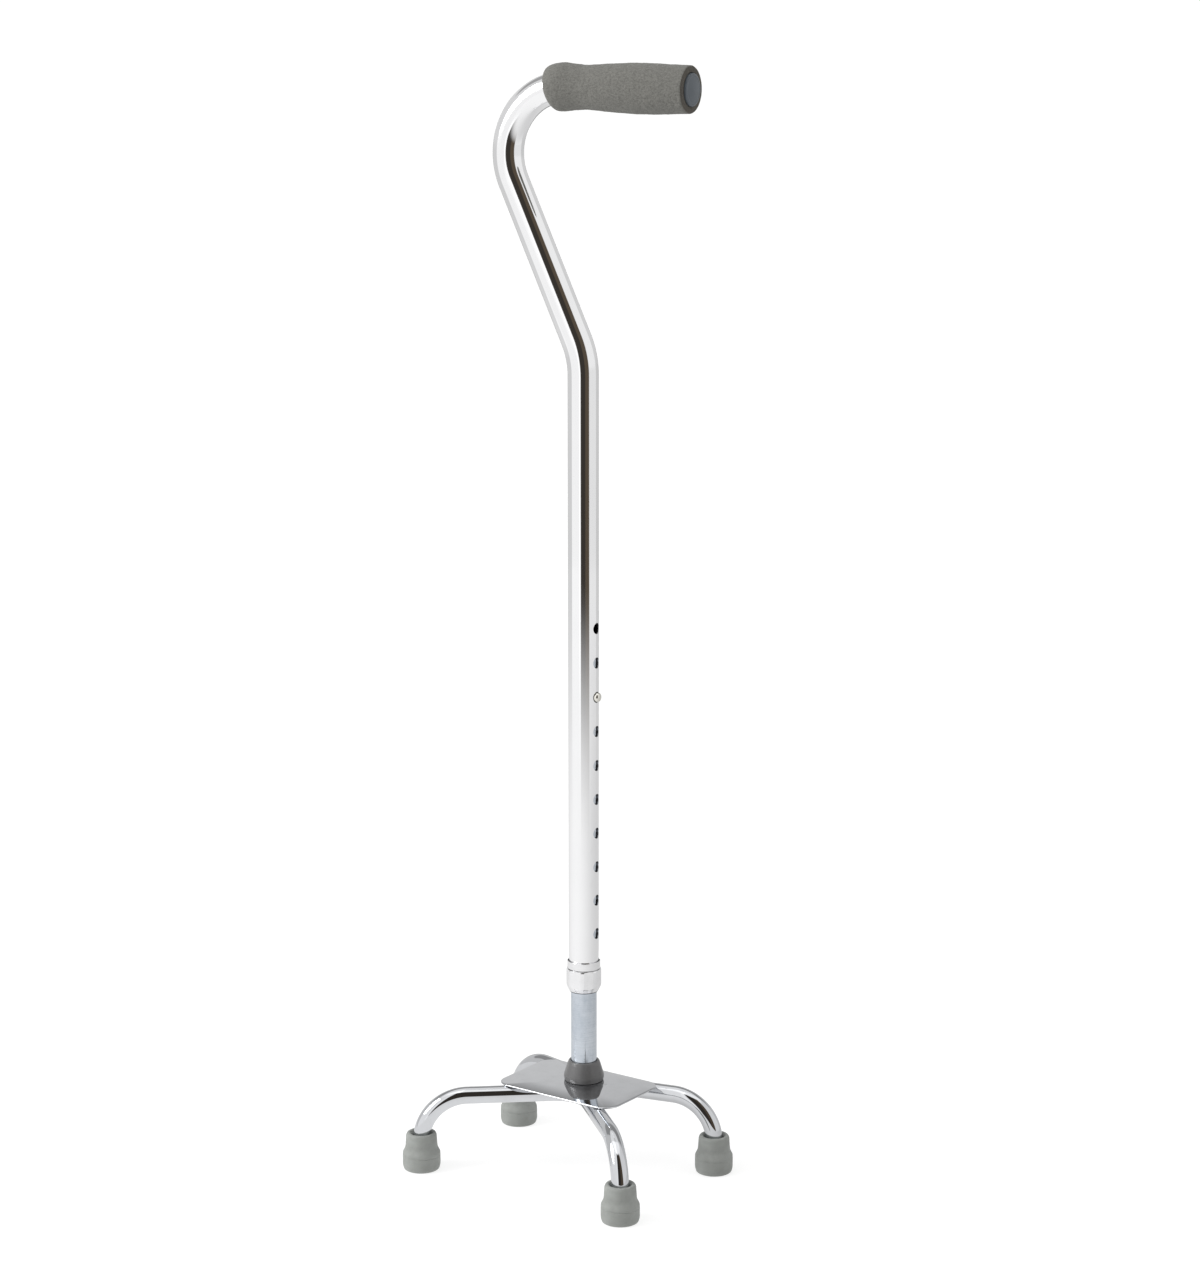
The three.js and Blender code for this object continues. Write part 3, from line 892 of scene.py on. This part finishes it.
def foam():
    """Closed foam: a matt skin of fine pores, mottled, with painted shade on its open end face, which
    faces away from the light.
    """
    shader = Shader("foam", (0.17, 0.168, 0.155), 0.95, Sheen_Weight=0.1, Sheen_Roughness=0.5)
    pores = shader.pores(0.00075)
    grain = shader.noise(2600, 1300, 3, 0.7)
    mottle = shader.noise(800, 520, 1, 0.5)
    patches = shader.noise(120, 90, 4, 0.6)
    tone = shader.mix(shader.between(patches, 0, 1), (0.172, 0.170, 0.154), (0.142, 0.141, 0.129))
    tone = shader.mix(shader.between(mottle, 0, 0.9, 0.42, 0.62), tone, (0.095, 0.094, 0.085))
    tone = shader.mix(shader.between(grain, 0, 0.75), tone, (0.262, 0.259, 0.238))
    # painted shade: the grip's end face is coloured darker, as the light falls weakly on it
    end = (handle_path.length + GRIP_OVERHANG) / METRE
    end_face_shade = shader.between(shader.height(), 0, 1, end - 0.0007, end - 0.0002)
    tone = shader.mix(end_face_shade, tone, shader.mix(grain, (0.065, 0.058, 0.048), (0.15, 0.138, 0.115)))
    shader.colour(shader.mix(shader.between(pores, 0.55, 0, 0.05, 0.35), tone, (0.06, 0.059, 0.053)))
    shader.bumps((pores, 0.18), (mottle, 0.35), (grain, 0.14))
    return shader.material


def rubber():
    """Moulded grey rubber with a soft bloom."""
    shader = Shader("tip_rubber", (0.29, 0.305, 0.29), 0.62)
    bloom = shader.noise(110, 110, 5, 0.6)
    grain = shader.noise(2500, 2500, 2)
    bloomed = shader.between(bloom, 0, 1, 0.35, 0.65)
    tone = shader.mix(bloomed, (0.325, 0.34, 0.325), (0.275, 0.288, 0.273))
    shader.colour(shader.mix(shader.between(grain, 0, 0.2), tone, (0.39, 0.40, 0.38)))
    shader.roughness(shader.between(bloom, 0.5, 0.7))
    shader.bumps((bloom, 0.06), (grain, 0.02))
    return shader.material


def moulded_plastic(name, colour, roughness):
    """Plain moulded plastic with a fine spark-eroded grain."""
    shader = Shader(name, colour, roughness)
    grain = shader.noise(3500, 3500, 2)
    clouds = shader.noise(140, 140, 3)
    shader.colour(shader.mix(clouds, colour, tuple(0.8 * channel for channel in colour)))
    shader.roughness(shader.between(grain, roughness - 0.06, roughness + 0.08))
    shader.bumps((grain, 0.012), (clouds, 0.03))
    return shader.material


# ---------------------------------------------------------------- studio

HEADING = math.radians(35.42)      # of the camera, anticlockwise from +Y
TILT = math.radians(11.86)         # downward
CAMERA_SIDE, CAMERA_BACK, CAMERA_HEIGHT = 0.0119, 2.3332, 0.8911
FOCAL_LENGTH = 93.66
BRIGHTEST = 1.8                    # the level that a colour ramp's white stands for

RIGHT = Vector((math.cos(HEADING), math.sin(HEADING), 0))
AWAY = Vector((-math.sin(HEADING), math.cos(HEADING), 0))


def camera():
    made = bpy.data.objects.new("camera", bpy.data.cameras.new("camera"))
    made.data.lens = FOCAL_LENGTH
    made.data.clip_start, made.data.clip_end = 0.1, 100
    foot = Vector((0, POST_Y / METRE, 0))
    made.location = foot + RIGHT * CAMERA_SIDE - AWAY * CAMERA_BACK + Vector((0, 0, CAMERA_HEIGHT))
    made.rotation_euler = (math.pi / 2 - TILT, 0, HEADING)
    bpy.context.scene.collection.objects.link(made)
    bpy.context.scene.camera = made


def ramp(tree, value, stops, brightest):
    """A colour ramp through (place, level or colour) stops, as shares of the brightest."""
    made = tree.nodes.new("ShaderNodeValToRGB")
    tree.links.new(value, made.inputs["Fac"])
    elements = made.color_ramp.elements
    while len(elements) > 1:
        elements.remove(elements[0])
    for i, (place, colour) in enumerate(stops):
        element = elements[0] if i == 0 else elements.new(place)
        element.position = place
        colour = colour if isinstance(colour, tuple) else (colour,) * 3
        element.color = (*[channel / brightest for channel in colour], 1)
    return made.outputs["Color"]


# The studio, as panels round the cane: from, to and level. Angles are in degrees from the camera,
# positive to its right. Each panel fades into the next over PANEL_EDGE.
PANEL_EDGE = 4
WALLS = [
    (-180, -95, 0.65),    # far wall, left
    (-95, -30, 0.95),     # left wall
    (-30, -10, 1.15),     # soft box beside the camera
    (-10, 110, 0.80),     # right wall
    (110, 180, 0.60),     # far wall, right
]
OPENING = [
    (-180, -20, 1.2),
    (-20, 15, (0.04, 0.035, 0.03)),    # the dark studio behind the camera
    (15, 45, (0.09, 0.07, 0.05)),      # its warmer side
    (45, 180, 1.2),
]
DOORWAY = [(-180, -165, 0.2), (-165, 165, 1), (165, 180, 0.2)]
FAR_WALL_SHADE = [(-180, -120, 0.5), (-120, 120, 1), (120, 180, 0.5)]
# Shares by the angle above the horizon.
OPENING_HEIGHT = [(-90, 62, 1), (62, 90, 0)]
DOORWAY_HEIGHT = [(-90, 2, 1), (2, 90, 0)]
SHADE_HEIGHT = [(-90, 25, 0), (25, 55, 1), (55, 90, 0)]
CEILING = [(-90, 0, 1.0), (0, 55, 1.1), (55, 90, 1.6)]
# The floor that the cane reflects is brightest towards KEY_SIDE, and fades into the room between
# two distances in metres.
KEY_SIDE = -60
FLOOR_LEVEL = 0.83
FLOOR_SWING = 0.16
FLOOR_FADE = (0.8, 2.3)
FLOOR_REACH = 2.4
BACKDROP_LEVEL = 1.05     # seen by the camera only


def panels(rows):
    """Stops that hold each panel's level and fade between neighbours."""
    stops = []
    for start, end, level in rows:
        fade_in = PANEL_EDGE / 2 if stops else 0
        fade_out = PANEL_EDGE / 2 if end < rows[-1][1] else 0
        stops += [(start + fade_in, level), (end - fade_out, level)]
    return stops


class Nodes:
    """Short ways to add nodes to a tree."""

    def __init__(self, tree):
        self.tree = tree
        tree.nodes.clear()

    def node(self, kind, *inputs, **settings):
        made = self.tree.nodes.new(kind)
        for name, value in settings.items():
            setattr(made, name, value)
        for target, value in zip(made.inputs, inputs):
            self.feed(target, value)
        return made

    def feed(self, target, value):
        if isinstance(value, bpy.types.NodeSocket):
            self.tree.links.new(value, target)
        elif value is not None:
            target.default_value = value

    def calculate(self, operation, *inputs):
        return self.node("ShaderNodeMath", *inputs, operation=operation).outputs[0]

    def mixed(self, factor, a, b, blend="MIX"):
        made = self.node("ShaderNodeMix", data_type="RGBA", blend_type=blend)
        for name, value in (("Factor_Float", factor), ("A_Color", a), ("B_Color", b)):
            self.feed(next(s for s in made.inputs if s.identifier == name), value)
        return next(s for s in made.outputs if s.identifier == "Result_Color")

    def table(self, value, rows, low, high, brightest=1.0):
        """The level at a value, from low to high, in rows of panels."""
        share = self.calculate("DIVIDE", self.calculate("SUBTRACT", value, low), high - low)
        stops = [((place - low) / (high - low), level) for place, level in panels(rows)]
        return ramp(self.tree, share, stops, brightest)

    def surroundings(self, across, away, up):
        """The room's light from a direction, as a share of BRIGHTEST."""
        round_angle = self.calculate("DEGREES", self.calculate(
            "ARCTAN2", across, self.calculate("MULTIPLY", away, -1.0)))
        height = self.calculate("DEGREES", self.calculate("ARCSINE", up))
        room = self.table(round_angle, WALLS, -180, 180, BRIGHTEST)
        lift = self.table(height, CEILING, -90, 90, BRIGHTEST)
        room = self.mixed(1.0, self.mixed(1.0, room, lift, "MULTIPLY"), (BRIGHTEST,) * 3 + (1,),
                          "MULTIPLY")
        for shares, heights in ((FAR_WALL_SHADE, SHADE_HEIGHT), (DOORWAY, DOORWAY_HEIGHT)):
            shaded = self.mixed(1.0, room, self.table(round_angle, shares, -180, 180), "MULTIPLY")
            room = self.mixed(self.table(height, heights, -90, 90), room, shaded)
        opening = self.table(round_angle, OPENING, -180, 180, BRIGHTEST)
        dark = self.mixed(1.0, room, opening, "DARKEN")
        return self.mixed(self.table(height, OPENING_HEIGHT, -90, 90), room, dark), round_angle

    def camera_frame(self, vector):
        """A vector's parts to the camera's right, away from it, and up."""
        turned = self.node("ShaderNodeVectorRotate", vector, rotation_type="Z_AXIS")
        turned.inputs["Angle"].default_value = -HEADING
        return self.node("ShaderNodeSeparateXYZ", turned.outputs[0]).outputs


def studio_world():
    world = bpy.data.worlds.new("studio")
    world.use_nodes = True
    bpy.context.scene.world = world
    nodes = Nodes(world.node_tree)
    direction = nodes.node("ShaderNodeTexCoord").outputs["Generated"]
    light, _ = nodes.surroundings(*nodes.camera_frame(direction))
    lit = nodes.node("ShaderNodeBackground", light, BRIGHTEST)
    backdrop = nodes.node("ShaderNodeBackground", (1, 1, 1, 1), BACKDROP_LEVEL)
    seen = nodes.node("ShaderNodeLightPath").outputs["Is Camera Ray"]
    shown = nodes.node("ShaderNodeMixShader", seen, lit.outputs[0], backdrop.outputs[0])
    nodes.node("ShaderNodeOutputWorld", shown.outputs[0])


def plane(name, radius, z, sides=64):
    """A flat round stage piece."""
    bm = bmesh.new()
    bmesh.ops.create_circle(bm, cap_ends=True, radius=radius, segments=sides,
                            matrix=Matrix.Translation((0, 0, z)))
    mesh = bpy.data.meshes.new(name)
    bm.to_mesh(mesh)
    bm.free()
    made = bpy.data.objects.new(name, mesh)
    bpy.context.scene.collection.objects.link(made)
    return made


def stage_material(name, diffuse, glow):
    material = bpy.data.materials.new(name)
    material.use_nodes = True
    surface = material.node_tree.nodes["Principled BSDF"]
    surface.inputs["Base Color"].default_value = (diffuse, diffuse, diffuse, 1)
    surface.inputs["Roughness"].default_value = 1.0
    surface.inputs["Specular IOR Level"].default_value = 0.0
    surface.inputs["Emission Color"].default_value = (1, 1, 1, 1)
    surface.inputs["Emission Strength"].default_value = glow
    return material


def lit_floor_material():
    """The floor that the cane reflects, lit round the cane and lost in the room further off."""
    material = bpy.data.materials.new("floor_reflected")
    material.use_nodes = True
    nodes = Nodes(material.node_tree)
    place = nodes.node("ShaderNodeNewGeometry").outputs["Position"]
    foot = (0, POST_Y / METRE, 0)
    across, away, _ = nodes.camera_frame(
        nodes.node("ShaderNodeVectorMath", place, foot, operation="SUBTRACT").outputs[0])
    distance = nodes.calculate("SQRT", nodes.calculate(
        "ADD", nodes.calculate("MULTIPLY", across, across), nodes.calculate("MULTIPLY", away, away)))
    room, round_angle = nodes.surroundings(across, away, 0.0)
    off_key = nodes.calculate("RADIANS", nodes.calculate("SUBTRACT", round_angle, KEY_SIDE))
    swing = nodes.calculate("MULTIPLY", nodes.calculate("COSINE", off_key), FLOOR_SWING / BRIGHTEST)
    near = nodes.calculate("ADD", swing, FLOOR_LEVEL / BRIGHTEST)
    fade = nodes.node("ShaderNodeMapRange", distance, *FLOOR_FADE, interpolation_type="SMOOTHSTEP")
    light = nodes.mixed(fade.outputs[0], near, room)
    glow = nodes.node("ShaderNodeEmission", light, BRIGHTEST)
    nodes.node("ShaderNodeOutputMaterial", glow.outputs[0])
    return material


def floor():
    """The pale floor that the camera sees, and the floor that the cane reflects."""
    seen = plane("floor", 30, -0.0003)
    seen.data.materials.append(stage_material("floor", 0.35, 0.76))
    seen.visible_glossy = False
    seen.visible_diffuse = False
    reflected = plane("floor_reflected", FLOOR_REACH, -0.001)
    reflected.data.materials.append(lit_floor_material())
    reflected.visible_camera = False


def key_light():
    """A soft box on the left, above the camera's height."""
    data = bpy.data.lights.new("key_light", "AREA")
    data.shape = "RECTANGLE"
    data.size, data.size_y = 1.0, 1.4
    data.energy = 32
    made = bpy.data.objects.new("key_light", data)
    aim = Vector((0, 0, 0.4))
    made.location = -RIGHT * 2.1 - AWAY * 0.5 + Vector((0, 0, 1.5))
    made.rotation_euler = (aim - made.location).to_track_quat("-Z", "Y").to_euler()
    made.visible_camera = False
    bpy.context.scene.collection.objects.link(made)


# ---------------------------------------------------------------- assembly

camera()
studio_world()
floor()
key_light()
bpy.context.scene.view_settings.view_transform = "Standard"

tube_metal = polished_aluminium()
plating = chrome("chrome", (0.66, 0.67, 0.69), 0.03)
steel = satin_metal("spring_steel", (0.55, 0.56, 0.58), 0.28)
grey_rubber = rubber()

handle_tube(tube_metal)
foam_grip(foam())
handle_end_cap(moulded_plastic("cap_plastic", (0.115, 0.137, 0.16), 0.36))
threaded_collar(satin_metal("collar_metal", (0.90, 0.90, 0.91), 0.12))
# the nut's lowest 0.9 mm is painted dark as shade, where it meets the lower tube
lock_nut(satin_metal("nut_metal", (0.93, 0.93, 0.94), 0.16, painted_shade_below=nut_low.z + 0.9))
compression_ring(moulded_plastic("nylon", (0.78, 0.76, 0.70), 0.45))

lower_tube(zinc_steel())
snap_button(chrome("nickel", (0.78, 0.76, 0.70), 0.1))
button_spring(steel)
base_boot(moulded_plastic("boot_plastic", (0.152, 0.151, 0.152), 0.28))
post_spigot(steel)
spigot_pin(steel)

base_plate(plating)
leg_tube("outer_leg_tube", -1, OUTER_SPLAY, 34, 25, plating)
leg_tube("inner_leg_tube", 1, INNER_SPLAY, 32, 40, plating)
for foot_name in ("outer_open_end", "outer_bend_end", "inner_open_end", "inner_bend_end"):
    rubber_tip("tip_" + foot_name, grey_rubber)
    tip_washer("tip_washer_" + foot_name, steel)
